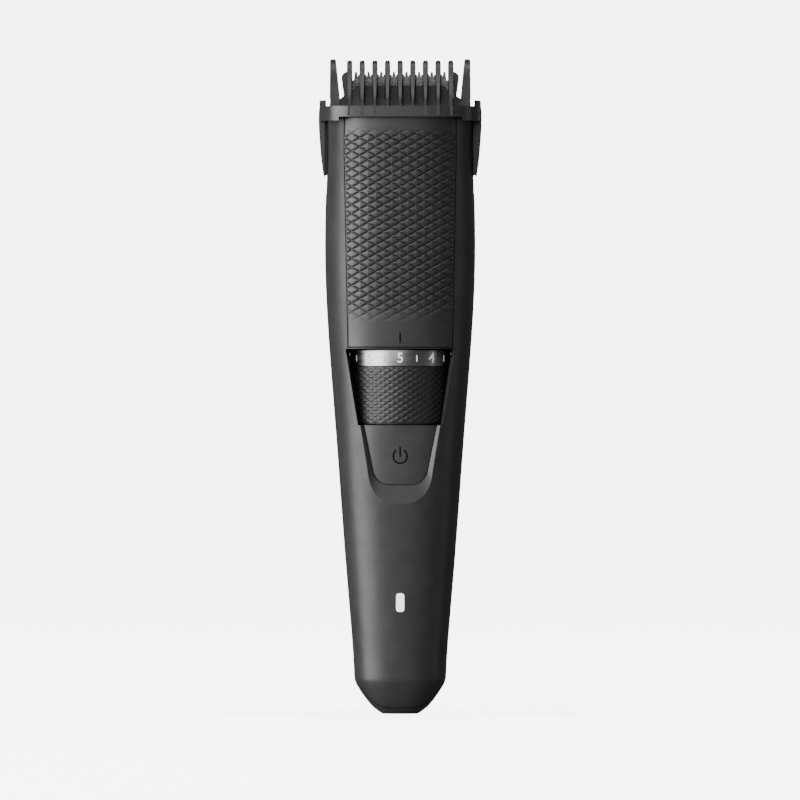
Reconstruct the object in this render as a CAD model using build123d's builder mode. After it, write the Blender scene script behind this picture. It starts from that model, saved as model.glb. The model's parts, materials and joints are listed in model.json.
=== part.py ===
from build123d import *
import os
from math import cos, radians, sin, tan

os.makedirs("parts", exist_ok=True)

# Cordless beard trimmer, millimetres. +Z runs from the resting base up to the comb, -Y is the front.

# ---- driving dimensions -------------------------------------------------------------------------

# Handle outline: height, half width, front depth and rear depth of each rounded section.
foot_stations = [
    (0.0, 4.8, 6.2, 6.6),
    (0.9, 6.2, 7.2, 7.6),
    (2.0, 7.5, 8.1, 8.5),
    (3.6, 8.9, 9.0, 9.5),
    (6.3, 10.8, 10.1, 10.7),
    (10.3, 12.35, 11.0, 11.7),
]
grip_stations = [
    (10.3, 12.35, 11.0, 11.7),
    (35.2, 14.2, 12.3, 13.4),
    (60.0, 16.1, 13.6, 15.1),
    (84.9, 18.0, 14.85, 16.5),
    (109.8, 19.75, 15.7, 17.3),
    (134.6, 20.05, 15.9, 17.5),
    (159.8, 19.85, 15.6, 17.2),
]
handle_pull = 0.72      # how square the rounded sections are
shell_top = 159.8
wall = 1.6
cap_floor = 2.0         # thickness of the base
seam = 0.15             # gap seen between two covers
cap_seam_height = 10.3  # where the bottom cap's seam meets the side of the handle
cap_seam_low = 1.75     # the same seam at the middle of the front

# Front openings.
panel_bottom = 97.9
panel_half_top = 15.1
panel_half_bottom = 14.1
panel_thickness = 0.95
button_face_inset = 1.15
button_top, button_bottom = 77.3, 61.5
button_half_top, button_half_bottom, button_corner = 9.7, 6.45, 4.4
button_gap = 0.2
button_centre = 69.1
light_bottom, light_top, light_width = 27.4, 32.4, 2.25

# Length wheel: 20 settings, 18 degrees and 0.5 mm each.
wheel_radius, wheel_bore = 14.4, 12.5
wheel_bottom, wheel_top, ring_bottom = 77.6, 97.5, 93.0
settings = 20
step_angle = 360 / settings
step_rise = 0.5
steps_down, steps_up = 9, 10
pin_height = 86.5       # follower pin at rest, with setting 5 at the middle
pin_radius = 1.0
groove_depth = 1.0

# Head, on a plane that leans back.
blade_tilt = 21
blade_tip_y, blade_tip_z = -6.5, 171.9
blade_pitch = 1.69
blade_half = 13.5
head_bottom = 160.2
hinge_y, hinge_z = 6.4, 161.6

# Comb.
comb_half, comb_front, comb_pull = 21.65, 17.5, 0.88
comb_bar_thickness = 1.45
comb_bar_low, comb_bar_high = 159.7, 162.6
comb_plate_low, comb_plate_high = 158.7, 164.2
comb_pitch = 3.38
comb_tip, comb_outer_tip = 174.9, 175.3
tooth_draft = 7         # degrees that the sides of a tooth close in by, towards its ridge
comb_clear = 3.0        # fins to blade plane at rest
arm_inner = 20.2
arm_half_depth = 4.5
tab_top = 155.0         # tabs of the carriage, which the comb's arms hook over
slot_low, slot_width = 139.3, 5.9

# Drive train.
motor_y = -1.5
motor_radius, motor_flat = 10.2, 7.7
motor_bottom, motor_top = 116.4, 142.4
shaft_radius = 1.0
crank_throw = 1.0
drive_pin_radius = 0.9
deck_low, deck_high = 156.6, 158.1

# Power.
cell_radius, cell_bottom, cell_top, cell_y = 7.1, 22.0, 72.0, 3.2
board_back, board_front = -6.6, -7.6
board_low, board_high = 14.0, 74.0
tray_back, tray_front = -4.4, -5.6


# ---- helpers ------------------------------------------------------------------------------------

def finish(builder, label):
    """Name a finished piece and write it to its own file."""
    builder.part.label = label
    export_step(builder.part, f"parts/{label}.step")


def rounded_section(half_width, front, rear, pull):
    """A closed rounded section of four curved quarters, inside the current sketch."""
    with BuildLine() as outline:
        Bezier((half_width, 0), (half_width, pull * rear), (pull * half_width, rear), (0, rear))
        Bezier((0, rear), (-pull * half_width, rear), (-half_width, pull * rear), (-half_width, 0))
        Bezier((-half_width, 0), (-half_width, -pull * front), (-pull * half_width, -front), (0, -front))
        Bezier((0, -front), (pull * half_width, -front), (half_width, -pull * front), (half_width, 0))
    make_face(outline.edges())


def handle_solid(inset, floor=0.0, extra_top=0.0):
    """The handle's outline, moved inwards by inset, from a floor up to the top."""
    with BuildPart() as body:
        for group in (foot_stations, grip_stations):
            for height, half_width, front, rear in group:
                if height >= floor:
                    with BuildSketch(Plane.XY.offset(height)):
                        rounded_section(half_width - inset, front - inset, rear - inset, handle_pull)
            loft()
        if extra_top:
            top_face = body.faces().sort_by(Axis.Z)[-1]
            extrude(top_face, amount=extra_top)
    return body.part


def shield(top_half, top_height, bottom_half, bottom_height, corner):
    """A tapering outline with two rounded lower corners, inside the current sketch."""
    with BuildLine() as outline:
        Polyline(
            (top_half, top_height), (bottom_half, bottom_height),
            (-bottom_half, bottom_height), (-top_half, top_height), close=True,
        )
    face = make_face(outline.edges())
    low = face.vertices().group_by(Axis.Y)[0]
    fillet(low, radius=corner)


def front_prism(draw, depth=30.0):
    """An outline in X and Z, drawn by a function, and pushed out to the front."""
    with BuildPart() as prism:
        with BuildSketch(Plane.XZ):
            draw()
        extrude(amount=depth)
    return prism.part


def panel_outline(shrink):
    with BuildLine() as outline:
        Polyline(
            (panel_half_bottom - shrink, panel_bottom + shrink), (panel_half_top - shrink, 150.0),
            (panel_half_top - shrink, shell_top + 2), (-panel_half_top + shrink, shell_top + 2),
            (-panel_half_top + shrink, 150.0), (-panel_half_bottom + shrink, panel_bottom + shrink),
            close=True,
        )
    make_face(outline.edges())


def button_outline(grow):
    shield(button_half_top + grow, button_top + min(grow, 0.1), button_half_bottom + grow,
           button_bottom - grow, button_corner + grow)


def light_outline(shrink):
    with Locations((0, (light_bottom + light_top) / 2)):
        RectangleRounded(light_width - 2 * shrink, light_top - light_bottom - 2 * shrink, 0.8 - shrink)


def cap_region(shift):
    """The area below the bottom cap's curved seam, seen from the front."""
    with BuildLine() as outline:
        Spline(
            (-12.6, cap_seam_height + shift), (-8.7, 4.7 + shift), (-5.2, 2.25 + shift),
            (0, cap_seam_low + shift),
            (5.2, 2.25 + shift), (8.7, 4.7 + shift), (12.6, cap_seam_height + shift),
        )
        Polyline((12.6, cap_seam_height + shift), (16, cap_seam_height + shift), (16, -2),
                 (-16, -2), (-16, cap_seam_height + shift), (-12.6, cap_seam_height + shift))
    make_face(outline.edges())


def motor_outline(grow):
    with Locations((0, motor_y)):
        Circle(motor_radius + grow)
        Rectangle(4 * motor_radius, 2 * (motor_flat + grow), mode=Mode.INTERSECT)


outer = handle_solid(0)
inner = handle_solid(wall, floor=cap_floor, extra_top=2)
pocket_floor = handle_solid(1.0, floor=cap_floor, extra_top=2)
panel_inner = handle_solid(panel_thickness, floor=cap_floor, extra_top=2)
button_outer = handle_solid(button_face_inset, floor=cap_floor)
button_inner = handle_solid(button_face_inset + 1.75, floor=cap_floor)
pad_inner = handle_solid(3.1, floor=cap_floor)

# The front of the handle leans out as it rises, and the recess follows it.
recess_lean = 2.8
recess_z = 56.0
recess_plane = Plane(
    origin=(0, -13.35, recess_z), x_dir=(1, 0, 0),
    z_dir=(0, -cos(radians(recess_lean)), -sin(radians(recess_lean))),
)

with BuildPart() as recess_cut:
    with BuildSketch(recess_plane.offset(0.5)):
        shield(13.9, 23.0, 9.9, -1.9, 4.0)
    with BuildSketch(recess_plane.offset(-2.7)):
        shield(9.8, 23.0, 5.2, 12.6, 2.6)
    loft(ruled=True)

with BuildPart() as wheel_window:
    with BuildSketch(Plane.XZ.offset(17.5)):
        with BuildLine():
            Polyline((12.3, 77.3), (15.8, 97.75), (-15.8, 97.75), (-12.3, 77.3), close=True)
        make_face()
    with BuildSketch(Plane.XZ.offset(5.0)):
        with BuildLine():
            Polyline((9.8, 77.3), (13.2, 97.75), (-13.2, 97.75), (-9.8, 77.3), close=True)
        make_face()
    loft(ruled=True)

# ---- covers -------------------------------------------------------------------------------------

with BuildPart() as pad_area:
    with BuildSketch(Plane.XZ.offset(3.0)):
        shield(15.1, 97.6, 9.3, 55.0, 5.0)
    extrude(amount=25)

with BuildPart() as window_pad:
    add(outer)
    add(pad_inner, mode=Mode.SUBTRACT)
    add(pad_area.part, mode=Mode.INTERSECT)

with BuildPart() as panel_pocket:
    add(front_prism(lambda: panel_outline(0)))
    add(pocket_floor, mode=Mode.SUBTRACT)

with BuildPart() as front_shell:
    add(outer)
    add(inner, mode=Mode.SUBTRACT)
    split(bisect_by=Plane.XZ.offset(seam / 2), keep=Keep.TOP)
    # Open between the base and the cavity.
    floor_height, floor_half, floor_front, floor_rear = foot_stations[2]
    with BuildSketch(Plane.XY.offset(floor_height - 1)):
        rounded_section(floor_half - wall, floor_front - wall, floor_rear - wall, handle_pull)
    extrude(amount=1.1, mode=Mode.SUBTRACT)
    add(window_pad.part)
    with BuildSketch(Plane.XZ):
        cap_region(0)
    extrude(amount=30, mode=Mode.SUBTRACT)
    add(panel_pocket.part, mode=Mode.SUBTRACT)
    add(recess_cut.part, mode=Mode.SUBTRACT)
    add(wheel_window.part, mode=Mode.SUBTRACT)
    add(front_prism(lambda: button_outline(button_gap)), mode=Mode.SUBTRACT)
    add(front_prism(lambda: light_outline(0)), mode=Mode.SUBTRACT)
    with BuildSketch(Plane.XY.offset(77.2)):
        Circle(wheel_radius + 0.35)
    extrude(amount=20.7, mode=Mode.SUBTRACT)
    # Slots in both sides for the tabs that carry the comb, and for the ribs of its arms.
    with Locations((0, 0, slot_low + 15)):
        Box(44, slot_width, 30, mode=Mode.SUBTRACT)
finish(front_shell, "front_shell")

with BuildPart() as rear_shell:
    add(outer)
    add(inner, mode=Mode.SUBTRACT)
    split(bisect_by=Plane.XZ, keep=Keep.BOTTOM)
    split(bisect_by=Plane.XY.offset(cap_seam_height + seam), keep=Keep.TOP)
    with BuildSketch(Plane.XY.offset(77.2)):
        Circle(wheel_radius + 0.35)
    extrude(amount=20.7, mode=Mode.SUBTRACT)
    with Locations((0, 0, slot_low + 15)):
        Box(44, slot_width, 30, mode=Mode.SUBTRACT)
finish(rear_shell, "rear_shell")

inlet_width, inlet_depth = 4.6, 6.4

with BuildPart() as cap_front:
    add(outer)
    split(bisect_by=Plane.XZ, keep=Keep.TOP)
    with BuildSketch(Plane.XZ):
        cap_region(-seam)
    extrude(amount=30, mode=Mode.INTERSECT)

with BuildPart() as bottom_cap:
    add(outer)
    split(bisect_by=Plane.XZ, keep=Keep.BOTTOM)
    split(bisect_by=Plane.XY.offset(cap_seam_height), keep=Keep.BOTTOM)
    add(cap_front.part)
    add(inner, mode=Mode.SUBTRACT)
    with BuildSketch(Plane.XY):
        SlotOverall(inlet_depth, inlet_width, rotation=90)
    extrude(amount=4, both=True, mode=Mode.SUBTRACT)
finish(bottom_cap, "bottom_cap")

with BuildPart() as front_panel:
    add(outer)
    add(panel_inner, mode=Mode.SUBTRACT)
    add(front_prism(lambda: panel_outline(seam)), mode=Mode.INTERSECT)
finish(front_panel, "front_panel")

with BuildPart() as light_guide:
    add(outer)
    add(front_prism(lambda: light_outline(0.04)), mode=Mode.INTERSECT)
    split(bisect_by=Plane.XZ.offset(8.7), keep=Keep.TOP)
finish(light_guide, "light_guide")

# ---- power button -------------------------------------------------------------------------------

with BuildPart() as power_button:
    add(button_outer)
    add(button_inner, mode=Mode.SUBTRACT)
    add(front_prism(lambda: button_outline(0)), mode=Mode.INTERSECT)
finish(power_button, "power_button")

with BuildPart() as switch_plunger:
    with BuildSketch(Plane.XZ.offset(9.6)):
        with Locations((0, button_centre)):
            Circle(1.6)
    extrude(amount=1.45)
finish(switch_plunger, "switch_plunger")

with BuildPart() as tact_switch:
    with Locations((0, board_front - 1.2, button_centre)):
        Box(6, 2.4, 6)
    with BuildSketch(Plane.XZ.offset(8.8)):
        with Locations((0, button_centre)):
            Circle(1.7)
    extrude(amount=3, mode=Mode.SUBTRACT)
finish(tact_switch, "tact_switch")

# ---- length wheel and comb carriage -------------------------------------------------------------

follow_angle = 90       # the follower pin works at the back of the wheel
groove_steps = 38
turn_low = -steps_down * step_angle
turn_high = steps_up * step_angle

with BuildPart() as zoom_wheel:
    with BuildSketch(Plane.XY.offset(wheel_bottom)):
        Circle(wheel_radius)
        Circle(wheel_bore, mode=Mode.SUBTRACT)
    extrude(amount=wheel_top - wheel_bottom)
    with BuildSketch(Plane.XY.offset(ring_bottom)):
        Circle(wheel_radius + 1)
        Circle(wheel_radius - 0.95, mode=Mode.SUBTRACT)
    extrude(amount=10, mode=Mode.SUBTRACT)
    # Helical groove, cut as short overlapping steps, 0.5 mm of rise for each setting.
    for index in range(groove_steps + 1):
        turn = turn_low + (turn_high - turn_low) * index / groove_steps
        rise = step_rise * turn / step_angle
        with Locations(Location((0, 0, pin_height + rise), (0, 0, follow_angle - turn))):
            with Locations((wheel_bore - 0.5 + groove_depth / 2, 0, 0)):
                Box(groove_depth + 1.0, 3.1, 2 * pin_radius + 0.6, mode=Mode.SUBTRACT)
    # One detent notch for each setting in the lower rim.
    with PolarLocations((wheel_radius + wheel_bore) / 2, settings):
        with Locations((0, 0, wheel_bottom)):
            Box(3, 1.3, 1.3, mode=Mode.SUBTRACT)
finish(zoom_wheel, "zoom_wheel")

with BuildPart() as number_ring:
    with BuildSketch(Plane.XY.offset(ring_bottom + 0.03)):
        Circle(wheel_radius)
        Circle(wheel_radius - 0.9, mode=Mode.SUBTRACT)
    extrude(amount=wheel_top - ring_bottom - 0.03)
finish(number_ring, "number_ring")

with BuildPart() as detent_spring:
    with Locations((0, 13.35, 77.2)):
        Box(11, 1.5, 0.3)
    with BuildSketch(Plane.XZ.offset(-14.1)):
        with Locations((0, 77.25)):
            Circle(0.55)
            with Locations((0, -0.9)):
                Rectangle(2, 1.4, mode=Mode.SUBTRACT)
    extrude(amount=1.5)
finish(detent_spring, "detent_spring")

rail_inner, rail_outer = 16.0, 17.2
ring_reach = 10.3       # inner side of the arms that stand on the ring

with BuildPart() as comb_carriage:
    with BuildSketch(Plane.XY.offset(pin_height - 3)):
        Circle(12.0)
        Circle(10.2, mode=Mode.SUBTRACT)
    extrude(amount=6)
    with BuildSketch(Plane.XZ.offset(-13.1)):
        with Locations((0, pin_height)):
            Circle(pin_radius)
    extrude(amount=1.8)
    for side in (-1, 1):
        with Locations((side * 11.1, 0, (pin_height - 3 + 107) / 2)):
            Box(1.6, 5, 107 - pin_height + 3)
        with Locations((side * (ring_reach + rail_outer) / 2, 0, 106)):
            Box(rail_outer - ring_reach, 5, 2)
        with Locations((side * (rail_inner + rail_outer) / 2, 0, (105 + tab_top) / 2)):
            Box(rail_outer - rail_inner, 5, tab_top - 105)
        with Locations((side * (rail_inner + 20.9) / 2, 0, tab_top - 2.5)):
            Box(20.9 - rail_inner, 3, 5)
finish(comb_carriage, "comb_carriage")

# ---- comb ---------------------------------------------------------------------------------------

lean = tan(radians(blade_tilt))
blade_plane = Plane(
    origin=(0, blade_tip_y, blade_tip_z), x_dir=(1, 0, 0),
    z_dir=(0, -cos(radians(blade_tilt)), sin(radians(blade_tilt))),
)


def blade_plane_y(height, forward=0.0):
    """Y of the blade plane, or of a plane that lies forward of it, at a height."""
    return blade_tip_y - (blade_tip_z - height) * lean - forward / cos(radians(blade_tilt))


def fin(centre, width, base_low, base_high, front_y, tip, clear=comb_clear):
    """One tooth: a strip before the blade plane that narrows to a ridge at its front."""
    base = comb_bar_low + 0.4
    # Behind the foot of the tooth is room for the cover's edge when the comb is right down.
    foot_top = shell_top + steps_down * step_rise + 0.25
    foot_back = front_y + comb_bar_thickness - 0.05
    back = blade_plane.offset(clear)
    top = (tip - back.origin.Z) / cos(radians(blade_tilt))
    shoulder = top - width / 2
    low = top - (tip - base) - 4
    with BuildPart() as tooth:
        with BuildSketch(back):
            with BuildLine():
                Polyline((centre - width / 2, shoulder), (base_low, low), (base_high, low),
                         (centre + width / 2, shoulder))
                ThreePointArc((centre + width / 2, shoulder), (centre, top), (centre - width / 2, shoulder))
            make_face()
        extrude(amount=7, taper=tooth_draft)
        with BuildSketch(Plane.YZ.offset(centre)):
            with BuildLine():
                Polyline((front_y, base), (foot_back, base), (foot_back, foot_top),
                         (blade_plane_y(foot_top, clear), foot_top), (blade_plane_y(tip, clear), tip))
                Line((front_y, base), (front_y, comb_bar_high))
                Spline((front_y, comb_bar_high), (-11.9 + (comb_clear - clear) / 2, tip - 3.4),
                       (blade_plane_y(tip, clear), tip),
                       tangents=((0.25, 1), (1, 0.12)))
            make_face()
        extrude(amount=4, both=True, mode=Mode.INTERSECT)
    return tooth.part


def bar_face_y(x):
    """Front of the crossbar at a distance from the middle."""
    power = 3.7
    return -comb_front * (1 - (abs(x) / comb_half) ** power) ** (1 / power)


with BuildPart() as comb_bar:
    with BuildSketch(Plane.XY.offset(comb_bar_low)):
        rounded_section(comb_half, comb_front, comb_front, comb_pull)
    extrude(amount=comb_bar_high - comb_bar_low)
    with BuildSketch(Plane.XY.offset(comb_bar_low)):
        rounded_section(comb_half - comb_bar_thickness, comb_front - comb_bar_thickness,
                        comb_front - comb_bar_thickness, comb_pull)
    extrude(amount=comb_bar_high - comb_bar_low, mode=Mode.SUBTRACT)
    split(bisect_by=Plane.XZ.offset(-arm_half_depth), keep=Keep.TOP)

# The ends of the crossbar reach down over the corners of the covers.
with BuildPart() as comb_skirt:
    with BuildSketch(Plane.XY.offset(comb_plate_low)):
        rounded_section(comb_half, comb_front, comb_front, comb_pull)
    extrude(amount=comb_bar_low - comb_plate_low + 0.1)
    with BuildSketch(Plane.XY.offset(comb_plate_low)):
        rounded_section(comb_half - comb_bar_thickness, comb_front - comb_bar_thickness,
                        comb_front - comb_bar_thickness, comb_pull)
    extrude(amount=comb_bar_low - comb_plate_low + 0.1, mode=Mode.SUBTRACT)
    split(bisect_by=Plane.XZ.offset(-arm_half_depth), keep=Keep.TOP)
    with Locations((0, -10, 161)):
        Box(2 * 16.4, 30, 12, mode=Mode.SUBTRACT)

with BuildPart() as comb_plates:
    with BuildSketch(Plane.XY.offset(comb_plate_low)):
        rounded_section(comb_half, comb_front, comb_front, comb_pull)
    extrude(amount=comb_plate_high - comb_plate_low)
    with BuildSketch(Plane.XY.offset(comb_plate_low)):
        rounded_section(comb_half - comb_bar_thickness, comb_front - comb_bar_thickness,
                        comb_front - comb_bar_thickness, comb_pull)
    extrude(amount=comb_plate_high - comb_plate_low, mode=Mode.SUBTRACT)
    split(bisect_by=Plane.XZ.offset(-arm_half_depth), keep=Keep.TOP)
    with Locations((0, -10, 161)):
        Box(2 * 19.8, 30, 12, mode=Mode.SUBTRACT)

with BuildPart() as comb_arm:
    with BuildSketch(Plane.XZ.offset(-arm_half_depth)):
        with BuildLine():
            Polyline((20.5, 144.0), (arm_inner, 144.0), (arm_inner, comb_plate_high),
                     (21.45, comb_plate_high))
            Spline((21.45, comb_plate_high), (21.85, 158.7), (21.6, 153.8), (21.2, 149.0), (20.5, 144.0))
        make_face()
    extrude(amount=2 * arm_half_depth)
    with Locations((arm_inner, 0, 150)):
        Box(1.7, 3.4, 12.4, mode=Mode.SUBTRACT)
    # Ribs that run in the slot of the covers.
    for side in (-1, 1):
        with Locations((19.8, side * 2.25, 152.35)):
            Box(1.2, 0.8, 16.1)

with BuildPart() as comb:
    add(comb_bar.part)
    add(comb_plates.part)
    add(comb_skirt.part)
    add(comb_arm.part)
    mirror(comb_arm.part, about=Plane.YZ)
    for index in range(-4, 5):
        centre = comb_pitch * index
        add(fin(centre, 1.5, centre - 0.85, centre + 0.85, bar_face_y(centre) + 0.05, comb_tip))
    outer_tooth = fin(17.95, 1.7, 15.4, 18.9, bar_face_y(18.6) + 0.05, comb_outer_tip, clear=2.0)
    add(outer_tooth)
    mirror(outer_tooth, about=Plane.YZ)
finish(comb, "comb")

# ---- cutting head -------------------------------------------------------------------------------

def toothed_plate(half, low, root, tip, front, thickness):
    """A flat blade on the blade plane with pointed teeth along its upper edge."""
    count = int(2 * half / blade_pitch)
    with BuildPart() as plate:
        with BuildSketch(blade_plane.offset(front)):
            with Locations((0, (low + root) / 2)):
                Rectangle(2 * half, root - low)
            for index in range(count):
                x = (index - (count - 1) / 2) * blade_pitch
                with BuildLine():
                    Polyline((x - 0.6, root - 0.1), (x + 0.6, root - 0.1), (x + 0.28, tip), (x - 0.28, tip),
                             close=True)
                make_face()
        extrude(amount=-thickness)
    return plate.part


screw_x, screw_low = 11.6, -9.4     # blade screws, on the blade plane
roof_low, roof_high = 168.2, 169.3

head_side = [
    (-11.0, head_bottom), (8.0, head_bottom), (8.0, 164.0), (-2.4, blade_tip_z), (-6.3, blade_tip_z),
    (blade_plane_y(164.4), 164.4),
]

with BuildPart() as head_frame:
    with BuildSketch(Plane.XZ.offset(-12)):
        with BuildLine():
            Polyline((15.1, 165.5), (14.9, 165.5), (16.4, 164.4), (16.4, head_bottom), (-16.4, head_bottom),
                     (-16.4, 164.4), (-14.9, 165.5), (-15.1, 165.5))
            Polyline((15.1, 165.5), (15.7, 170.0))
            Polyline((-15.1, 165.5), (-15.7, 170.0))
            ThreePointArc((15.7, 170.0), (15.2, 171.45), (14.0, blade_tip_z))
            ThreePointArc((-15.7, 170.0), (-15.2, 171.45), (-14.0, blade_tip_z))
            Line((14.0, blade_tip_z), (-14.0, blade_tip_z))
        make_face()
    extrude(amount=26)
    with BuildSketch(Plane.YZ.offset(-20)):
        with BuildLine():
            Polyline(*head_side, close=True)
        make_face()
    extrude(amount=40, mode=Mode.INTERSECT)
    fillet(head_frame.edges().filter_by(Axis.X).group_by(Axis.Y)[-1].group_by(Axis.Z)[-1], radius=1.4)
    # Hollow, open below and towards the blade.
    with BuildSketch(Plane.YZ.offset(-13.7)):
        with BuildLine():
            Polyline((-16, head_bottom - 1), (6.8, head_bottom - 1), (6.8, 163.3), (-1.4, roof_low),
                     (blade_plane_y(roof_low, -1.95), roof_low), (blade_plane_y(173.5, -1.95), 173.5),
                     (-16, 173.5), close=True)
        make_face()
    extrude(amount=27.4, mode=Mode.SUBTRACT)
    # Between the ears the roof stays below the roots of the teeth.
    with Locations((0, -5, roof_high + 3)):
        Box(27.4, 20, 6, mode=Mode.SUBTRACT)
    # Bosses that the blade screws turn into, and a web that joins them to the sides.
    for side in (-1, 1):
        with BuildSketch(blade_plane.offset(-0.95)):
            with Locations((side * 12.2, screw_low)):
                Rectangle(3.6, 4.0)
        extrude(amount=-3.0)
    for side in (-1, 1):
        with Locations((side * 12.3, hinge_y, hinge_z)):
            Box(3.4, 2.4, 2.6)
        # Notch that the hinge lug stands in.
        with Locations((side * 9.3, hinge_y + 0.6, head_bottom + 1.65)):
            Box(2.7, 5.2, 3.5, mode=Mode.SUBTRACT)
    with BuildSketch(blade_plane):
        with Locations((-screw_x, screw_low), (screw_x, screw_low)):
            Circle(0.8)
    extrude(amount=-6, mode=Mode.SUBTRACT)
    with BuildSketch(Plane.YZ.offset(-15)):
        with Locations((hinge_y, hinge_z)):
            Circle(0.82)
    extrude(amount=30, mode=Mode.SUBTRACT)
finish(head_frame, "head_frame")

with BuildPart() as head_hinge_pins:
    for side in (-1, 1):
        with BuildSketch(Plane.YZ.offset(side * 8.0)):
            with Locations((hinge_y, hinge_z)):
                Circle(0.8)
        extrude(amount=side * 6.0)
finish(head_hinge_pins, "head_hinge_pins")

with BuildPart() as head_cover:
    with BuildSketch(blade_plane.offset(0.05)):
        with BuildLine():
            Polyline((-13.4, -12.3), (13.4, -12.3), (13.4, -6.6), (11.6, -4.4), (-11.6, -4.4), (-13.4, -6.6),
                     close=True)
        make_face()
    extrude(amount=0.95)
finish(head_cover, "head_cover")

with BuildPart() as guard_blade:
    add(toothed_plate(blade_half, -11.0, -2.45, 0.0, 0.0, 0.9))
    with BuildSketch(blade_plane.offset(0.1)):
        with Locations((-screw_x, screw_low), (screw_x, screw_low)):
            Circle(0.85)
    extrude(amount=-1.2, mode=Mode.SUBTRACT)
    with BuildSketch(blade_plane):
        with Locations((-screw_x, screw_low), (screw_x, screw_low)):
            Circle(1.55)
    extrude(amount=-0.5, mode=Mode.SUBTRACT)
finish(guard_blade, "guard_blade")

with BuildPart() as blade_screws:
    for side in (-1, 1):
        with BuildSketch(blade_plane.offset(-0.02)):
            with Locations((side * screw_x, screw_low)):
                Circle(1.5)
        extrude(amount=-0.46)
        with BuildSketch(blade_plane.offset(-0.48)):
            with Locations((side * screw_x, screw_low)):
                Circle(0.75)
        extrude(amount=-2.6)
finish(blade_screws, "blade_screws")

with BuildPart() as cutter_blade:
    add(toothed_plate(11.9, -6.6, -2.5, -0.45, -0.95, 0.75))
finish(cutter_blade, "cutter_blade")

fork_low, fork_high = 162.2, 165.0

with BuildPart() as cutter_bridge:
    with BuildSketch(blade_plane.offset(-1.72)):
        with Locations((0, -4.9)):
            Rectangle(14, 3.0)
    extrude(amount=-1.3)
    for side in (-1, 1):
        with BuildSketch(Plane.YZ.offset(side * 3.2)):
            with BuildLine():
                Polyline((blade_plane_y(167.6, -1.8), 167.6), (blade_plane_y(165.8, -1.8), 165.8),
                         (-5.6, fork_low), (1.0, fork_low), (1.0, fork_high), close=True)
            make_face()
        extrude(amount=side * 1.4)
finish(cutter_bridge, "cutter_bridge")

with BuildPart() as cutter_spring:
    with BuildSketch(blade_plane.offset(-3.3)):
        with Locations((0, -3.35)):
            Rectangle(24, 0.7)
    extrude(amount=-0.3)
finish(cutter_spring, "cutter_spring")

# ---- chassis ------------------------------------------------------------------------------------

spine_back, spine_front = 8.6, 7.2
top_half, top_front, top_rear = grip_stations[-1][1:]
deck_inset = wall + 0.25


def block(x0, x1, y0, y1, z0, z1, mode=Mode.ADD):
    """A box between two corners, inside the current part."""
    with Locations(((x0 + x1) / 2, (y0 + y1) / 2, (z0 + z1) / 2)):
        Box(x1 - x0, y1 - y0, z1 - z0, mode=mode)


with BuildPart() as chassis:
    # Lower tray between circuit board and cell, with cradle ribs behind.
    block(-8.6, 8.6, tray_front, tray_back, 14.0, 75.7)
    for height in (27.0, 47.0, 67.0):
        block(-8.6, 8.6, tray_back - 0.1, 6.0, height - 1, height + 1)
    with BuildSketch(Plane.XY.offset(cell_bottom - 2)):
        with Locations((0, cell_y)):
            Circle(cell_radius + 0.15)
    extrude(amount=cell_top - cell_bottom + 4, mode=Mode.SUBTRACT)
    # Wheel bearing: two flanges on a tube.
    with BuildSketch(Plane.XY.offset(75.6)):
        Circle(14.1)
        with Locations((0, -17.5)):
            Rectangle(40, 20, mode=Mode.SUBTRACT)
    extrude(amount=1.4)
    with BuildSketch(Plane.XY.offset(97.9)):
        Circle(14.1)
        with Locations((0, -23.2)):
            Rectangle(40, 20, mode=Mode.SUBTRACT)
    extrude(amount=1.5)
    with BuildSketch(Plane.XY.offset(75.6)):
        Circle(9.8)
    extrude(amount=23.8)
    with BuildSketch(Plane.XY.offset(75.0)):
        Circle(8.2)
    extrude(amount=25, mode=Mode.SUBTRACT)
    block(-8.6, 8.6, tray_front, tray_back, 70.0, 76.0)
    block(-5, 5, tray_front - 1, tray_back + 1, 72.9, 78.0, mode=Mode.SUBTRACT)
    for height in (cell_bottom - 0.2, cell_top + 0.2):
        block(-3.2, 3.2, tray_front - 1, tray_back + 1, height - 0.8, height + 0.8, mode=Mode.SUBTRACT)
    for side in (-1, 1):
        with Locations((side * 11.3, 0, 98.6)):
            Box(2.9, 5.8, 4, mode=Mode.SUBTRACT)
    # Upper spine, motor cradle, motor shelf and deck.
    block(-10, 10, spine_front, spine_back, 98.0, deck_high - 0.5)
    for height in (123.0, 133.0):
        block(-12.4, 12.4, -5.0, spine_front + 0.1, height - 1, height + 1)
    block(-10.5, 10.5, -9.5, spine_front + 0.1, 142.6, 144.0)
    with BuildSketch(Plane.XY.offset(115)):
        motor_outline(0.95)
    extrude(amount=motor_top - 115 + 0.1, mode=Mode.SUBTRACT)
    with BuildSketch(Plane.XY.offset(deck_low)):
        rounded_section(top_half - deck_inset, top_front - deck_inset, top_rear - deck_inset,
                        handle_pull)
        for side in (-1, 1):
            with Locations((side * 17.6, 0)):
                Rectangle(4, 6, mode=Mode.SUBTRACT)
    extrude(amount=deck_high - deck_low)
    with BuildSketch(Plane.XY.offset(142)):
        with Locations((0, motor_y)):
            Circle(3.3)
        with Locations((-6, motor_y), (6, motor_y)):
            Circle(1.05)
    extrude(amount=20, mode=Mode.SUBTRACT)
    # Hinge lugs for the head.
    for side in (-1, 1):
        block(side * 9.3 - 1.0, side * 9.3 + 1.0, hinge_y - 1.2, hinge_y + 1.2,
              deck_high - 0.1, hinge_z + 1.2)
    with BuildSketch(Plane.YZ.offset(-15)):
        with Locations((hinge_y, hinge_z)):
            Circle(0.86)
    extrude(amount=30, mode=Mode.SUBTRACT)
    # Screw holes for the circuit board.
    with BuildSketch(Plane.XZ.offset(4)):
        with Locations((-4.6, 20), (6.5, 57)):
            Circle(0.85)
    extrude(amount=3, mode=Mode.SUBTRACT)
finish(chassis, "chassis")

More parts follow.
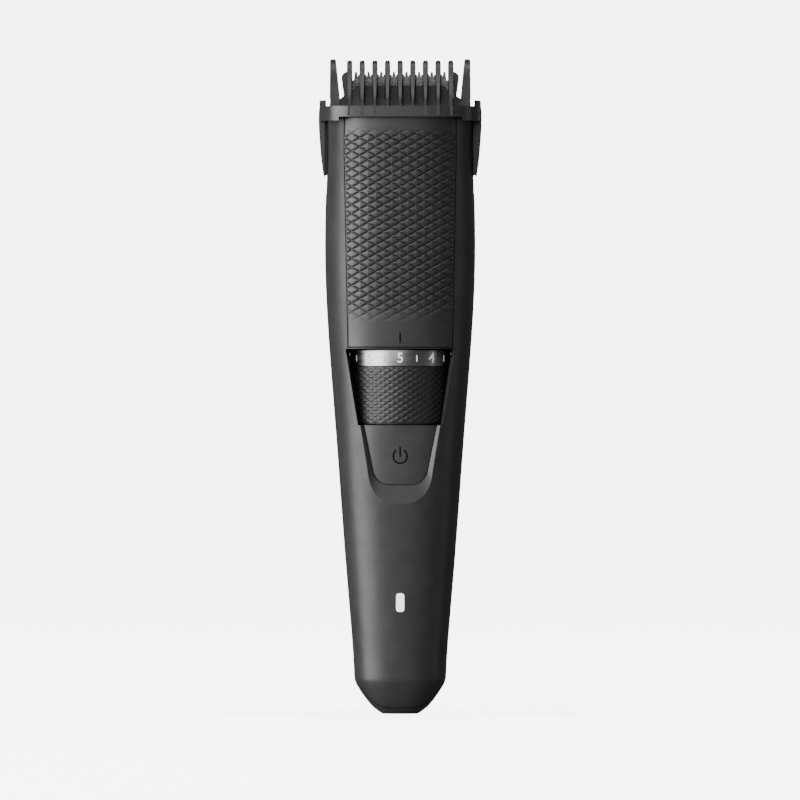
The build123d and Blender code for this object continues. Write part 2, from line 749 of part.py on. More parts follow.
with BuildPart() as shaft_seal:
    with BuildSketch(Plane.XY.offset(deck_high + 0.02)):
        with Locations((0, motor_y)):
            Circle(5.2)
            Circle(2.3, mode=Mode.SUBTRACT)
    extrude(amount=1.2)
finish(shaft_seal, "shaft_seal")

# ---- motor --------------------------------------------------------------------------------------

with BuildPart() as motor_can:
    with BuildSketch(Plane.XY.offset(motor_bottom)):
        motor_outline(0)
    extrude(amount=motor_top - motor_bottom)
    with BuildSketch(Plane.XY.offset(motor_bottom - 1)):
        motor_outline(-0.7)
    extrude(amount=motor_top - motor_bottom, mode=Mode.SUBTRACT)
    with BuildSketch(Plane.XY.offset(motor_top)):
        with Locations((0, motor_y)):
            Circle(3.1)
    extrude(amount=1.5)
    with BuildSketch(Plane.XY.offset(motor_bottom)):
        with Locations((0, motor_y)):
            Circle(shaft_radius + 0.06)
        with Locations((-6, motor_y), (6, motor_y)):
            Circle(0.85)
    extrude(amount=30, mode=Mode.SUBTRACT)
finish(motor_can, "motor_can")

with BuildPart() as motor_magnets:
    with BuildSketch(Plane.XY.offset(119.5)):
        motor_outline(-0.75)
        with Locations((0, motor_y)):
            Circle(6.9, mode=Mode.SUBTRACT)
            Rectangle(11, 40, mode=Mode.SUBTRACT)
    extrude(amount=18)
finish(motor_magnets, "motor_magnets")

with BuildPart() as motor_rotor:
    with BuildSketch(Plane.XY.offset(121)):
        with Locations((0, motor_y)):
            Circle(6.3)
            with PolarLocations(5.6, 3):
                Rectangle(2.4, 0.8, mode=Mode.SUBTRACT)
            Circle(shaft_radius, mode=Mode.SUBTRACT)
    extrude(amount=15)
finish(motor_rotor, "motor_rotor")

with BuildPart() as motor_end_cap:
    with BuildSketch(Plane.XY.offset(motor_bottom - 2.2)):
        motor_outline(-0.1)
    extrude(amount=2.15)
    with BuildSketch(Plane.XY.offset(motor_bottom - 0.1)):
        motor_outline(-0.8)
    extrude(amount=1.6)
    with BuildSketch(Plane.XY.offset(motor_bottom - 3)):
        with Locations((0, motor_y)):
            Circle(shaft_radius + 0.06)
    extrude(amount=6, mode=Mode.SUBTRACT)
    block(-6.6, -5.4, motor_y - 0.25, motor_y + 0.25, motor_bottom - 3, motor_bottom + 2, mode=Mode.SUBTRACT)
    block(5.4, 6.6, motor_y - 0.25, motor_y + 0.25, motor_bottom - 3, motor_bottom + 2, mode=Mode.SUBTRACT)
finish(motor_end_cap, "motor_end_cap")

with BuildPart() as motor_terminals:
    for side in (-1, 1):
        block(side * 6 - 0.55, side * 6 + 0.55, motor_y - 0.2, motor_y + 0.2,
              motor_bottom - 5.2, motor_bottom + 1)
finish(motor_terminals, "motor_terminals")

with BuildPart() as motor_shaft:
    with BuildSketch(Plane.XY.offset(motor_bottom - 1.9)):
        with Locations((0, motor_y)):
            Circle(shaft_radius)
    extrude(amount=152.5 - motor_bottom + 1.9)
finish(motor_shaft, "motor_shaft")

with BuildPart() as eccentric_cam:
    with BuildSketch(Plane.XY.offset(147.0)):
        with Locations((0, motor_y)):
            Circle(3.0)
    extrude(amount=7.2)
    with BuildSketch(Plane.XY.offset(146)):
        with Locations((0, motor_y)):
            Circle(shaft_radius)
    extrude(amount=6.5, mode=Mode.SUBTRACT)
    with BuildSketch(Plane.XY.offset(154.2)):
        with Locations((crank_throw, motor_y)):
            Circle(drive_pin_radius)
    extrude(amount=164.6 - 154.2)
finish(eccentric_cam, "eccentric_cam")

with BuildPart() as motor_damper:
    with BuildSketch(Plane.XY.offset(119.5)):
        motor_outline(0.85)
        with Locations((0, motor_y)):
            Circle(motor_radius + 0.03, mode=Mode.SUBTRACT)
    with BuildSketch(Plane.XY.offset(119.5)):
        motor_outline(0.85)
    extrude(amount=17)
    with BuildSketch(Plane.XY.offset(119)):
        motor_outline(0.03)
    extrude(amount=18, mode=Mode.SUBTRACT)
finish(motor_damper, "motor_damper")

with BuildPart() as motor_screws:
    for x in (-6, 6):
        with BuildSketch(Plane.XY.offset(144.02)):
            with Locations((x, motor_y)):
                Circle(1.7)
                RectangleRounded(2.0, 0.5, 0.1, mode=Mode.SUBTRACT)
        extrude(amount=1.1)
        with BuildSketch(Plane.XY.offset(141.2)):
            with Locations((x, motor_y)):
                Circle(0.8)
        extrude(amount=3.2)
finish(motor_screws, "motor_screws")

# ---- power and electronics ----------------------------------------------------------------------

with BuildPart() as battery_cell:
    with BuildSketch(Plane.XY.offset(cell_bottom)):
        with Locations((0, cell_y)):
            Circle(cell_radius)
    extrude(amount=cell_top - cell_bottom - 0.8)
    fillet(battery_cell.edges().filter_by(GeomType.CIRCLE), radius=0.5)
    with BuildSketch(Plane.XY.offset(cell_top - 1)):
        with Locations((0, cell_y)):
            Circle(2.6)
    extrude(amount=1.0)
finish(battery_cell, "battery_cell")


def battery_tab(low, label):
    """A thin strip from one end of the cell, through the tray, to the circuit board."""
    with BuildPart() as tab:
        block(-2.0, 2.0, board_back + 0.02, cell_y + 2.0, low, low + 0.25)
    finish(tab, label)


battery_tab(cell_top + 0.02, "battery_tab_positive")
battery_tab(cell_bottom - 0.27, "battery_tab_negative")

with BuildPart() as circuit_board:
    with BuildSketch(Plane.XZ.offset(-board_back)):
        with BuildLine():
            Polyline((-6.6, board_low), (6.6, board_low), (8.2, board_high - 16), (8.2, board_high),
                     (-8.2, board_high), (-8.2, board_high - 16), close=True)
        make_face()
        with Locations((-4.6, 20), (6.5, 57)):
            Circle(0.95, mode=Mode.SUBTRACT)
    extrude(amount=board_back - board_front)
finish(circuit_board, "circuit_board")

with BuildPart() as board_screws:
    for x, z in ((-4.6, 20), (6.5, 57)):
        with BuildSketch(Plane.XZ.offset(-board_front + 0.02)):
            with Locations((x, z)):
                Circle(1.6)
        extrude(amount=0.9)
        with BuildSketch(Plane.XZ.offset(-tray_back + 0.1)):
            with Locations((x, z)):
                Circle(0.75)
        extrude(amount=-board_front + tray_back)
finish(board_screws, "board_screws")


def board_part(label, x, z, width, thickness, height):
    """A small component standing on the front of the circuit board."""
    with BuildPart() as component:
        with Locations((x, board_front - 0.02 - thickness / 2, z)):
            Box(width, thickness, height)
        chamfer(component.edges().filter_by(Axis.Y), length=0.15)
    finish(component, label)


board_part("indicator_led", 0, (light_bottom + light_top) / 2, 1.8, 0.8, 3.0)
board_part("charge_controller", -1.5, 42.0, 5.0, 1.1, 5.0)
board_part("motor_driver", 3.0, 50.5, 4.0, 1.1, 3.2)

with BuildPart() as storage_capacitor:
    with BuildSketch(Plane.XZ.offset(-board_front + 0.02)):
        with Locations((-4.6, 53)):
            Circle(2.0)
    extrude(amount=2.2)
    fillet(storage_capacitor.faces().sort_by(Axis.Y)[0].edges(), radius=0.25)
finish(storage_capacitor, "storage_capacitor")

# Each round pin stands free in the inlet, and has a square tail through the socket's floor.
charge_pin_y, charge_pin_radius, charge_tail = 1.5, 0.6, 0.7

with BuildPart() as charging_socket:
    with BuildSketch(Plane.XY.offset(2.03)):
        SlotOverall(inlet_depth + 2.0, inlet_width + 2.0, rotation=90)
    extrude(amount=10.4)
    with BuildSketch(Plane.XY.offset(2.0)):
        SlotOverall(inlet_depth, inlet_width, rotation=90)
    extrude(amount=7.2, mode=Mode.SUBTRACT)
    with BuildSketch(Plane.XY.offset(2.0)):
        with Locations((0, -charge_pin_y), (0, charge_pin_y)):
            Rectangle(charge_tail + 0.04, charge_tail + 0.04)
    extrude(amount=20, mode=Mode.SUBTRACT)
finish(charging_socket, "charging_socket")

with BuildPart() as charging_pins:
    for y in (-charge_pin_y, charge_pin_y):
        with BuildSketch(Plane.XY.offset(5.0)):
            with Locations((0, y)):
                Circle(charge_pin_radius)
        extrude(amount=4.1)
        with BuildSketch(Plane.XY.offset(9.0)):
            with Locations((0, y)):
                Rectangle(charge_tail, charge_tail)
        extrude(amount=4.4)
    fillet(charging_pins.faces().group_by(Axis.Z)[0].edges(), radius=0.25)
finish(charging_pins, "charging_pins")


def motor_wire(side, label):
    """An insulated lead from a motor terminal, down through the wheel's tube, to the board."""
    start = (side * 6.0, motor_y, motor_bottom - 5.3)
    with BuildPart() as lead:
        with BuildLine() as route:
            FilletPolyline(start, (side * 6.0, motor_y, 104.0), (side * 3.4, motor_y, 98.0),
                           (side * 3.4, motor_y, 80.0), (side * 3.4, board_back + 0.75, 75.6),
                           (side * 3.4, board_back + 0.75, 73.1), radius=1.6)
        with BuildSketch(Plane(origin=start, z_dir=(0, 0, -1))):
            Circle(0.55)
        sweep()
    finish(lead, label)


motor_wire(-1, "motor_wire_black")
motor_wire(1, "motor_wire_red")
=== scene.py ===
import json
from math import cos, pi, radians, sin

import bpy
import numpy as np
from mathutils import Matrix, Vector
from mathutils.bvhtree import BVHTree


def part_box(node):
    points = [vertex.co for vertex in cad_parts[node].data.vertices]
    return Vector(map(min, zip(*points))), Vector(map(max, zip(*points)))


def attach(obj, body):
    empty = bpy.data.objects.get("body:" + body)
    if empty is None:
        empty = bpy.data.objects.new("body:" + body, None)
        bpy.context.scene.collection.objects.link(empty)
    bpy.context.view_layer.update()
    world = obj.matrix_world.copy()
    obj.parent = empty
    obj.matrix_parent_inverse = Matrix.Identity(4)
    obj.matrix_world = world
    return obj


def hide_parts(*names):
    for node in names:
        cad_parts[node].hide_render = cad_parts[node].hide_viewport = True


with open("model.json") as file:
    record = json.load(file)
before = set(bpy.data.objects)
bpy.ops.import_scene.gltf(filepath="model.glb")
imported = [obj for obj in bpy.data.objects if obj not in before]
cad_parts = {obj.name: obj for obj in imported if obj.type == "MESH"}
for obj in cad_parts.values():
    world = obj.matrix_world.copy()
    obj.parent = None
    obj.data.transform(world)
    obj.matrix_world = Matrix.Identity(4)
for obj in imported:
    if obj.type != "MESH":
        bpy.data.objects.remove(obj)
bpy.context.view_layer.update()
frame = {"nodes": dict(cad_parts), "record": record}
nodes = frame["nodes"]

MM = 0.001
FRONT = -pi / 2         # angle of the front of the wheel, about the handle's long axis


# ---- materials ----------------------------------------------------------------------------------

def new_material(name, **values):
    """A Principled material; values are set on the shader's own sockets."""
    made = bpy.data.materials.new(name)
    made.use_nodes = True
    shader = made.node_tree.nodes["Principled BSDF"]
    for socket, value in values.items():
        shader.inputs[socket.replace("_", " ")].default_value = value
    return made, made.node_tree, shader


def noise(tree, scale, detail, axis_scale=(1, 1, 1)):
    """Noise in object space, so that it stays with the piece; a small axis_scale draws it out that way."""
    place = tree.nodes.new("ShaderNodeTexCoord")
    size = tree.nodes.new("ShaderNodeMapping")
    size.inputs["Scale"].default_value = axis_scale
    grain = tree.nodes.new("ShaderNodeTexNoise")
    grain.inputs["Scale"].default_value = scale
    grain.inputs["Detail"].default_value = detail
    tree.links.new(place.outputs["Object"], size.inputs["Vector"])
    tree.links.new(size.outputs["Vector"], grain.inputs["Vector"])
    return grain.outputs["Fac"]


def spread(tree, source, low, high):
    """Maps the middle of a noise to a range."""
    ranged = tree.nodes.new("ShaderNodeMapRange")
    ranged.inputs["From Min"].default_value = 0.3
    ranged.inputs["From Max"].default_value = 0.7
    ranged.inputs["To Min"].default_value = low
    ranged.inputs["To Max"].default_value = high
    tree.links.new(source, ranged.inputs["Value"])
    return ranged.outputs["Result"]


def tinted(tree, shader, source, colour, change):
    """Lets the base colour vary a little about its mean."""
    mix = tree.nodes.new("ShaderNodeMix")
    mix.data_type = "RGBA"
    mix.inputs["A"].default_value = [c * (1 - change) for c in colour] + [1]
    mix.inputs["B"].default_value = [min(1, c * (1 + change)) for c in colour] + [1]
    tree.links.new(source, mix.inputs["Factor"])
    tree.links.new(mix.outputs["Result"], shader.inputs["Base Color"])


def bumped(tree, shader, source, strength, distance):
    """A fine grain from a noise, as a bump of the given height in metres."""
    bump = tree.nodes.new("ShaderNodeBump")
    bump.inputs["Strength"].default_value = strength
    bump.inputs["Distance"].default_value = distance
    tree.links.new(source, bump.inputs["Height"])
    tree.links.new(bump.outputs["Normal"], shader.inputs["Normal"])


def plastic(name, colour, rough, grain=0.25, grain_scale=2600, change=0.12):
    """Moulded plastic: a spark-eroded grain, a little colour drift and patches of uneven gloss."""
    made, tree, shader = new_material(name, Specular_IOR_Level=0.5)
    tinted(tree, shader, spread(tree, noise(tree, 260, 4), 0, 1), colour, change)
    rough_source = spread(tree, noise(tree, 90, 5), rough - 0.05, rough + 0.05)
    tree.links.new(rough_source, shader.inputs["Roughness"])
    bumped(tree, shader, noise(tree, grain_scale, 2), grain, 0.00004)
    return made


def metal(name, colour, rough, axis_scale=(1, 1, 1), grain=0.2, change=0.08):
    """Metal; its grinding or drawing lines run along the axes that have a small axis_scale."""
    made, tree, shader = new_material(name, Metallic=1.0)
    lines = noise(tree, 900, 4, axis_scale)
    tinted(tree, shader, spread(tree, noise(tree, 120, 3), 0, 1), colour, change)
    tree.links.new(spread(tree, lines, rough - 0.07, rough + 0.09), shader.inputs["Roughness"])
    bumped(tree, shader, lines, grain, 0.00002)
    return made


def glowing(name, colour, light, strength):
    """A milky lens with an even light behind it."""
    made, tree, shader = new_material(name, Emission_Strength=strength)
    tinted(tree, shader, spread(tree, noise(tree, 400, 2), 0, 1), colour, 0.04)
    tree.links.new(spread(tree, noise(tree, 700, 2), 0.28, 0.36), shader.inputs["Roughness"])
    shader.inputs["Emission Color"].default_value = (*light, 1)
    return made


BLACK = (0.024, 0.024, 0.0255)
materials = {
    "shell_plastic": plastic("ShellPlastic", BLACK, 0.46),
    "panel_plastic": plastic("PanelPlastic", (0.023, 0.023, 0.0245), 0.42, 0.15),
    "button_plastic": plastic("ButtonPlastic", (0.036, 0.036, 0.038), 0.4),
    "wheel_plastic": plastic("WheelPlastic", (0.02, 0.02, 0.021), 0.44, 0.15),
    "silver_band": metal("SilverBand", (0.3, 0.303, 0.306), 0.36, (0.03, 0.03, 3), 0.04, 0.03),
    "comb_plastic": plastic("CombPlastic", (0.026, 0.026, 0.0275), 0.36, 0.12),
    "head_plastic": plastic("HeadPlastic", (0.05, 0.05, 0.052), 0.42, 0.2),
    "blade_steel": metal("BladeSteel", (0.4, 0.4, 0.41), 0.24, (0.05, 1, 1), 0.05, 0.04),
    "light_lens": glowing("LightLens", (0.9, 0.92, 0.93), (0.97, 0.99, 1.0), 1.3),
    "chassis_plastic": plastic("ChassisPlastic", (0.07, 0.07, 0.075), 0.5),
    "bright_steel": metal("BrightSteel", (0.7, 0.7, 0.7), 0.26),
    "motor_steel": metal("MotorSteel", (0.55, 0.55, 0.57), 0.34, (1, 1, 0.1)),
    "magnet_iron": plastic("MagnetIron", (0.1, 0.095, 0.09), 0.7, 0.6, 1800),
    "cam_plastic": plastic("CamPlastic", (0.76, 0.75, 0.7), 0.4),
    "soft_rubber": plastic("SoftRubber", (0.02, 0.02, 0.02), 0.75, 0.5, 1800),
    "cell_wrap": plastic("CellWrap", (0.05, 0.22, 0.09), 0.3, 0.08),
    "board_laminate": plastic("BoardLaminate", (0.012, 0.014, 0.013), 0.34, 0.15),
    "component_black": plastic("ComponentBlack", (0.02, 0.02, 0.02), 0.55),
    "capacitor_case": metal("CapacitorCase", (0.72, 0.72, 0.74), 0.28),
    "led_body": plastic("LedBody", (0.85, 0.85, 0.78), 0.25, 0.05),
    "brass_contact": metal("BrassContact", (0.78, 0.58, 0.28), 0.24),
    "wire_red": plastic("WireRed", (0.5, 0.02, 0.02), 0.38),
    "wire_black": plastic("WireBlack", (0.015, 0.015, 0.015), 0.4),
    # white print; it also carries a painted glow, set below
    "print_white": plastic("PrintWhitePaintedGlow", (0.9, 0.9, 0.89), 0.5, 0.1),
    # near black, for the painted shadow drawn under the numbers and ticks
    "painted_digit_shadow": plastic("PaintedDigitShadow", (0.012, 0.012, 0.013), 0.7, 0.1),
    "print_black": plastic("PrintBlack", (0.0015, 0.0015, 0.0015), 0.85, 0.1),
}

# The white print is given a faint glow of its own: a painted glow, so the numbers stay bright beside the
# band's highlight.
print_white = materials["print_white"].node_tree.nodes["Principled BSDF"]
print_white.inputs["Emission Color"].default_value = (1, 1, 1, 1)
print_white.inputs["Emission Strength"].default_value = 0.3
materials["print_black"].node_tree.nodes["Principled BSDF"].inputs["Specular IOR Level"].default_value = 0.08

for row in frame["record"]["subparts"]:
    for slot_of_node in nodes[row["node"]].material_slots:
        slot_of_node.material = materials[row["material_slot"]]


# ---- mesh helpers -------------------------------------------------------------------------------

def make_piece(name, points, faces, material, body, sharp=40):
    """A smooth-shaded mesh from points in metres, riding on a body."""
    mesh = bpy.data.meshes.new(name)
    mesh.from_pydata([tuple(p) for p in points], [], faces)
    mesh.update()
    mesh.shade_smooth()
    mesh.set_sharp_from_angle(angle=radians(sharp))
    piece = bpy.data.objects.new(name, mesh)
    bpy.context.scene.collection.objects.link(piece)
    mesh.materials.append(materials[material])
    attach(piece, body)
    return piece


def grid_faces(rows, columns, around=False, start=0):
    """Quads of a grid of points; around joins the last column to the first."""
    faces = []
    for row in range(rows - 1):
        for column in range(columns if around else columns - 1):
            here = start + row * columns + column
            beside = start + row * columns + (column + 1) % columns
            faces.append((here, beside, beside + columns, here + columns))
    return faces


def fitted_front(node, half, low, high):
    """A smooth function y(x, z) of the front of a CAD node, fitted to points found by rays from the front."""
    ahead, towards_back = -0.1, Vector((0, 1, 0))
    mesh = nodes[node].data
    tree = BVHTree.FromPolygons([v.co for v in mesh.vertices], [p.vertices for p in mesh.polygons])
    found = []
    for x in np.linspace(-half, half, 41):
        for z in np.linspace(low, high, 61):
            hit = tree.ray_cast(Vector((x, ahead, z)), towards_back)[0]
            if hit is not None:
                found.append((x, z, hit.y))
    seen = np.array(found)
    middle, span = (low + high) / 2, (high - low) / 2

    def terms(x, z):
        u, v = (np.asarray(x) / half) ** 2, (np.asarray(z) - middle) / span
        return [u ** i * v ** j for i in range(5) for j in range(5)]

    solved = np.linalg.lstsq(np.stack(terms(seen[:, 0], seen[:, 1]), -1), seen[:, 2], rcond=None)[0]
    return lambda x, z: sum(c * t for c, t in zip(solved, terms(x, z)))


def smooth_step(value):
    value = np.clip(value, 0, 1)
    return value * value * (3 - 2 * value)


def pillows(across, along, groove, shoulder):
    """Height above the floor, 0 to 1, of staggered pillows between two sets of crossing grooves.

    across and along are in units of one pillow, and groove is the half width of a groove in them.
    shoulder is the share of the height that the groove's wall takes; the pillow's crown is the rest.
    """
    up, down = across + along, across - along
    gap = np.minimum(abs(up - np.round(up)), abs(down - np.round(down)))
    return shoulder * smooth_step(gap / groove) + (1 - shoulder) * smooth_step(gap / 0.5)


# ---- grip panel with raised diamonds ------------------------------------------------------------

DIAMOND_WIDE, DIAMOND_HIGH = 4.3 * MM, 2.39 * MM
GROOVE_DEPTH = 0.42 * MM
TEXTURE_LOW, TEXTURE_HIGH = 103.4 * MM, 156.9 * MM
FADE_LOW, FADE_HIGH = 7 * MM, 2.6 * MM      # heights over which the texture starts and ends
PLAIN_EDGE = 0.4 * MM                       # the grooves run out this near the sides
TAPER_TOP, TAPER = 150 * MM, 1.0 * MM       # below this height each side draws in, by this much at the bottom
ROUNDING, ROUNDING_DEPTH = 0.3 * MM, 0.16 * MM
RIM_DEPTH = 0.75 * MM                       # how far the panel's turned rim reaches back

panel_low, panel_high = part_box("front_panel")
panel_y = fitted_front(
    "front_panel", panel_high.x - 0.15 * MM, panel_low.z + ROUNDING, panel_high.z - ROUNDING)


def build_panel():
    """The panel's front as one fine grid, with the relief in its points and a rim turned back all round."""
    columns, rows = 200, 420
    z = np.linspace(panel_low.z, panel_high.z, rows)[:, None] * np.ones((1, columns))
    half = panel_high.x - np.clip((TAPER_TOP - z) / (TAPER_TOP - panel_low.z), 0, 1) * TAPER
    x = np.linspace(-1, 1, columns)[None, :] * half
    side = half - abs(x)
    edge = np.minimum(np.minimum(side, z - panel_low.z), panel_high.z - z)
    fade = smooth_step((z - TEXTURE_LOW) / FADE_LOW) * smooth_step((TEXTURE_HIGH - z) / FADE_HIGH)
    relief = pillows(x / DIAMOND_WIDE, z / DIAMOND_HIGH, 0.1, 0.74)
    y = panel_y(x, z) + GROOVE_DEPTH * fade * (1 - relief) * smooth_step(side / PLAIN_EDGE)
    y = y + ROUNDING_DEPTH * (1 - smooth_step(edge / ROUNDING))
    x, y, z = (np.pad(values, 1, "edge") for values in (x, y, z))
    rim = np.ones_like(y)
    rim[1:-1, 1:-1] = 0
    y = y + rim * RIM_DEPTH
    points = np.stack([x, y, z], -1).reshape(-1, 3)
    piece = make_piece("grip_panel", points, grid_faces(rows + 2, columns + 2), "panel_plastic", "handle", 60)
    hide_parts("front_panel")


build_panel()


# ---- flat printed marks -------------------------------------------------------------------------

PROUD, SUNK = 0.02 * MM, 0.1 * MM       # how far a mark stands out of its surface and reaches into it
LINE_WIDTH = 0.42 * MM


def ribbon(name, strokes, surface, material, body):
    """Thin marks that follow a surface: each stroke is a list of (x, z) points."""
    points, faces = [], []
    for stroke in strokes:
        path = np.array(stroke)
        run = np.gradient(path, axis=0)
        run = run / np.linalg.norm(run, axis=1)[:, None]
        across = np.stack([-run[:, 1], run[:, 0]], -1) * LINE_WIDTH / 2
        start = len(points)
        for here, offset in zip(path, across):
            for side, depth in ((1, -PROUD), (-1, -PROUD), (-1, SUNK), (1, SUNK)):
                x, z = here + side * offset
                points.append((x, float(surface(x, z)) + depth, z))
        faces += grid_faces(len(path), 4, around=True, start=start)
        last = start + 4 * (len(path) - 1)
        faces += [(start + 3, start + 2, start + 1, start), (last, last + 1, last + 2, last + 3)]
    return make_piece(name, points, faces, material, body, 30)


button_low, button_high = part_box("power_button")
button_y = fitted_front("power_button", 6.0 * MM, button_low.z + 1.5 * MM, button_high.z - 1 * MM)
ICON_Z, ICON_RADIUS = 69.0 * MM, 1.85 * MM
ICON_GAP = 34       # degrees from the top to each end of the open ring
BAR_LOW, BAR_HIGH = ICON_Z - 0.15 * MM, ICON_Z + 2.55 * MM
INDEX_LOW, INDEX_HIGH = 99.3 * MM, 102.0 * MM

arc = [
    (ICON_RADIUS * sin(radians(turn)), ICON_Z + ICON_RADIUS * cos(radians(turn)))
    for turn in np.linspace(ICON_GAP, 360 - ICON_GAP, 49)
]
bar = [(0, z) for z in np.linspace(BAR_LOW, BAR_HIGH, 7)]
index = [(0, z) for z in np.linspace(INDEX_LOW, INDEX_HIGH, 7)]
ribbon("power_icon", [arc, bar], button_y, "print_black", "button")
ribbon("index_mark", [index], panel_y, "print_black", "handle")


# ---- knurled wheel ------------------------------------------------------------------------------

wheel_low, wheel_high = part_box("zoom_wheel")
ring_low, ring_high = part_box("number_ring")
WHEEL_RADIUS = 14.4 * MM
WHEEL_BORE = 12.55 * MM
CHAMFER_IN, CHAMFER_UP = 0.45 * MM, 0.35 * MM
KNURLS_AROUND = 35
KNURL_HIGH = 1.6 * MM
KNURL_DEPTH = 0.26 * MM
KNURL_TOP = WHEEL_RADIUS - 0.02 * MM        # a hair inside the CAD wheel
KNURL_FADE = 0.5 * MM
BAND_GAP = 0.1 * MM                         # between the knurl and the silver band
BAND_SEAT = WHEEL_RADIUS - 0.98 * MM
BAND_INSIDE = WHEEL_RADIUS - 0.9 * MM
BAND_ROUNDING = 0.22 * MM


def build_wheel():
    """The wheel as rings of points: a chamfer, the knurl, and the seat of the silver band."""
    columns, knurl_rows = KNURLS_AROUND * 12, 110
    turn = np.linspace(0, 2 * pi, columns, endpoint=False)
    knurled = np.linspace(wheel_low.z + CHAMFER_UP, ring_low.z - BAND_GAP, knurl_rows)
    around = (turn * KNURLS_AROUND / (2 * pi))[None, :]
    relief = pillows(around, (knurled / KNURL_HIGH)[:, None], 0.22, 0.65)
    start, end = knurled[0], knurled[-1]
    ends = smooth_step((knurled - start) / KNURL_FADE) * smooth_step((end - knurled) / KNURL_FADE)
    rings = [np.full(columns, WHEEL_BORE), np.full(columns, WHEEL_RADIUS - CHAMFER_IN)]
    heights = [wheel_low.z, wheel_low.z]
    for height, row, fade in zip(knurled, relief, ends):
        rings.append(KNURL_TOP - KNURL_DEPTH * (1 - row * fade))
        heights.append(height)
    for radius, height in ((BAND_SEAT, ring_low.z), (BAND_SEAT, wheel_high.z),
                           (WHEEL_BORE, wheel_high.z), (WHEEL_BORE, wheel_low.z)):
        rings.append(np.full(columns, radius))
        heights.append(height)
    points = [
        (r * cos(a), r * sin(a), height)
        for ring, height in zip(rings, heights) for r, a in zip(ring, turn)
    ]
    piece = make_piece("knurled_wheel", points, grid_faces(len(rings), columns, around=True),
                       "wheel_plastic", "wheel", 50)
    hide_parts("zoom_wheel")


def build_band():
    """Silver band with rounded rims."""
    columns = 360
    turn = np.linspace(0, 2 * pi, columns, endpoint=False)
    rim = BAND_ROUNDING
    profile = [(BAND_INSIDE, ring_low.z)]
    for height, side in ((ring_low.z + rim, -1), (ring_high.z - rim, 1)):
        for quarter in np.radians(np.linspace(0, 90, 7)[::-side]):
            profile.append((WHEEL_RADIUS - rim + rim * sin(quarter), height + side * rim * cos(quarter)))
    profile += [(BAND_INSIDE, ring_high.z), (BAND_INSIDE, ring_low.z)]
    points = [(r * cos(a), r * sin(a), z) for r, z in profile for a in turn]
    piece = make_piece("silver_number_band", points, grid_faces(len(profile), columns, around=True),
                       "silver_band", "wheel", 60)
    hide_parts("number_ring")


DIGIT_SIZE = 3.7 * MM
DIGIT_MIDDLE = 95.2 * MM
DIGIT_WEIGHT = 0.045 * MM       # how far each outline is grown, to make it bold
TICK_HALF, TICK_TALL = 0.19 * MM, 0.85 * MM
TICK_SUNK = 0.05 * MM
STEP = radians(36)      # from one whole number to the next
SHOWN_AT_REST = 5


def wrap(points, faces, shape, angle, drop, lift):
    """Adds a flat shape, drawn in x and y with its thickness in z, bent round the band at an angle."""
    start = len(points)
    shape_points, shape_faces = shape
    for x, height, out in shape_points:
        turn, radius = angle + x / WHEEL_RADIUS, WHEEL_RADIUS + out + lift
        points.append((radius * cos(turn), radius * sin(turn), DIGIT_MIDDLE - drop + height))
    faces += [tuple(start + i for i in face) for face in shape_faces]


def tick_shape():
    corners = [(side * TICK_HALF, end * TICK_TALL) for side, end in ((-1, -1), (1, -1), (1, 1), (-1, 1))]
    points = [(x, y, depth) for depth in (-TICK_SUNK, PROUD) for x, y in corners]
    sides = [(i, (i + 1) % 4, 4 + (i + 1) % 4, 4 + i) for i in range(4)]
    return points, sides + [(3, 2, 1, 0), (4, 5, 6, 7)]


def digit_shape(number, heavier):
    """Points and faces of a number in Blender's own font; heavier grows its outline further."""
    text = bpy.data.curves.new("number", "FONT")
    text.body = str(number)
    text.size = DIGIT_SIZE
    text.align_x, text.align_y = "CENTER", "CENTER"
    text.extrude = PROUD
    text.offset = DIGIT_WEIGHT + heavier
    holder = bpy.data.objects.new("number", text)
    mesh = bpy.data.meshes.new_from_object(holder)
    shape = [tuple(v.co) for v in mesh.vertices], [tuple(p.vertices) for p in mesh.polygons]
    bpy.data.objects.remove(holder)
    bpy.data.curves.remove(text)
    bpy.data.meshes.remove(mesh)
    return shape


def build_numbers():
    """Whole numbers 1 to 10 and a tick for each half, each with a painted shadow: a darker copy below and
    beside it.
    """
    for name, material, heavier, shift, lift in (
        ("scale_numbers", "print_white", 0.0, 0.0, 0.0),
        # painted shadow: a dark, slightly bolder copy shifted down and to the side, just under the white
        # marks
        ("scale_painted_shadows", "painted_digit_shadow", 0.03 * MM, 0.11 * MM, -0.015 * MM),
    ):
        points, faces = [], []
        for number in range(1, 11):
            middle = FRONT - (number - SHOWN_AT_REST) * STEP + shift / WHEEL_RADIUS
            wrap(points, faces, digit_shape(number, heavier), middle, shift, lift)
            wrap(points, faces, tick_shape(), middle + STEP / 2, shift, lift)
        make_piece(name, points, faces, material, "wheel", 20)


build_wheel()
build_band()
build_numbers()


# ---- stage, light and camera --------------------------------------------------------------------

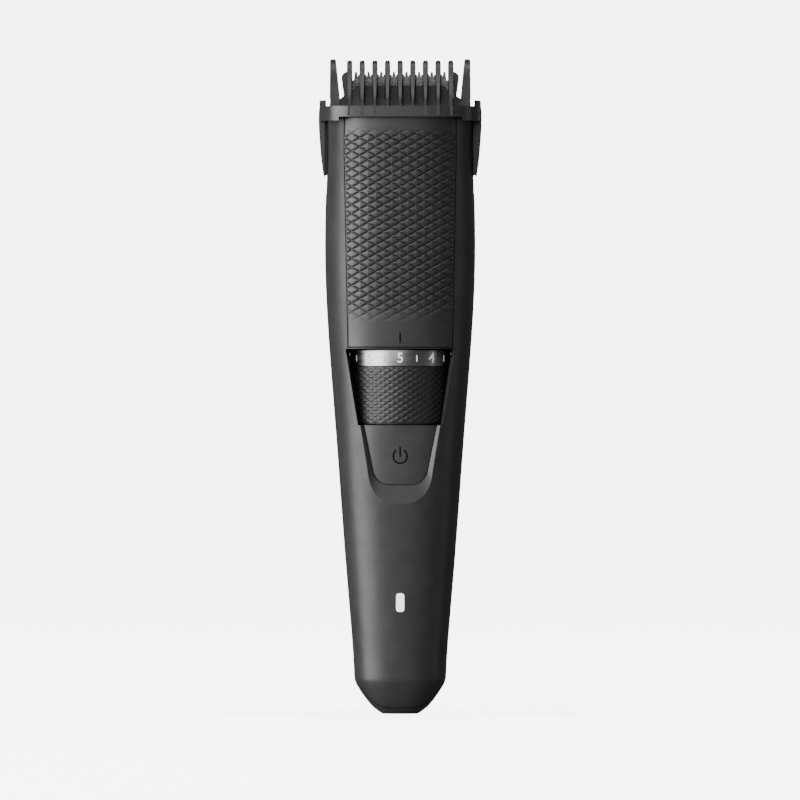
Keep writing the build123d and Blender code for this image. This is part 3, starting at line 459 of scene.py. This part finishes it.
def backdrop():
    """A pale round floor that curves up into a wall all round; it lights nothing and is in no reflection."""
    columns, hub, middle, floor, bend, top = 96, 0.05, 2.0, 8.0, 2.0, 9.0
    profile = [(hub, 0.0), (middle, 0.0), (floor, 0.0)]
    profile += [(floor + bend * sin(a), bend - bend * cos(a)) for a in np.radians(np.linspace(6, 90, 15))]
    profile.append((floor + bend, top))
    turns = np.linspace(0, 2 * pi, columns, endpoint=False)
    points = [(r * cos(a), r * sin(a), z) for r, z in profile for a in turns]
    faces = grid_faces(len(profile), columns, around=True) + [tuple(range(columns))]
    mesh = bpy.data.meshes.new("Backdrop")
    mesh.from_pydata(points, [], faces)
    mesh.shade_smooth()
    sheet = bpy.data.objects.new("Backdrop", mesh)
    bpy.context.scene.collection.objects.link(sheet)
    paper, tree, shader = new_material("StudioPaper", Roughness=0.9, Emission_Strength=6.0)
    tinted(tree, shader, noise(tree, 3, 2), (0.9, 0.9, 0.9), 0.01)
    shader.inputs["Emission Color"].default_value = (1, 1, 1, 1)
    mesh.materials.append(paper)
    sheet.visible_glossy = False
    sheet.visible_diffuse = False
    sheet.visible_shadow = False


def area_light(name, place, size, size_y, power):
    """A soft rectangular lamp that looks at the object's middle."""
    lamp = bpy.data.lights.new(name, "AREA")
    lamp.shape = "RECTANGLE"
    lamp.size, lamp.size_y = size, size_y
    lamp.energy = power
    holder = bpy.data.objects.new(name, lamp)
    holder.location = place
    holder.rotation_euler = (LIT_POINT - Vector(place)).to_track_quat("-Z", "Y").to_euler()
    bpy.context.scene.collection.objects.link(holder)


backdrop()
LIT_POINT = Vector((0, 0, 0.09))
area_light("KeyLeft", (-0.92, -0.62, 0.2), 0.95, 1.1, 31)
area_light("EdgeRight", (0.95, -0.15, 0.15), 0.3, 0.9, 0.8)
area_light("FillFront", (-0.2, -1.35, 0.45), 0.6, 0.6, 3.2)
area_light("Top", (-0.2, -0.3, 1.1), 0.7, 0.5, 4)
area_light("Back", (0.1, 1.2, 0.6), 0.8, 0.8, 3)

world = bpy.data.worlds.new("Studio")
world.use_nodes = True
world.node_tree.nodes["Background"].inputs["Color"].default_value = (1, 1, 1, 1)
world.node_tree.nodes["Background"].inputs["Strength"].default_value = 0.11
bpy.context.scene.world = world

SENSOR = 36                             # mm
DISTANCE, FIELD = 3.6, 0.2145           # from the object's middle, and the width seen there
SIGHT_X, SIGHT_Z = -0.05 * MM, 84.05 * MM
camera_data = bpy.data.cameras.new("Camera")
camera_data.sensor_width = SENSOR
camera_data.lens = SENSOR * DISTANCE / FIELD
camera_data.clip_end = 50
camera = bpy.data.objects.new("Camera", camera_data)
camera.location = (SIGHT_X, -DISTANCE, SIGHT_Z)
camera.rotation_euler = (pi / 2, 0, 0)
bpy.context.scene.collection.objects.link(camera)
bpy.context.scene.camera = camera
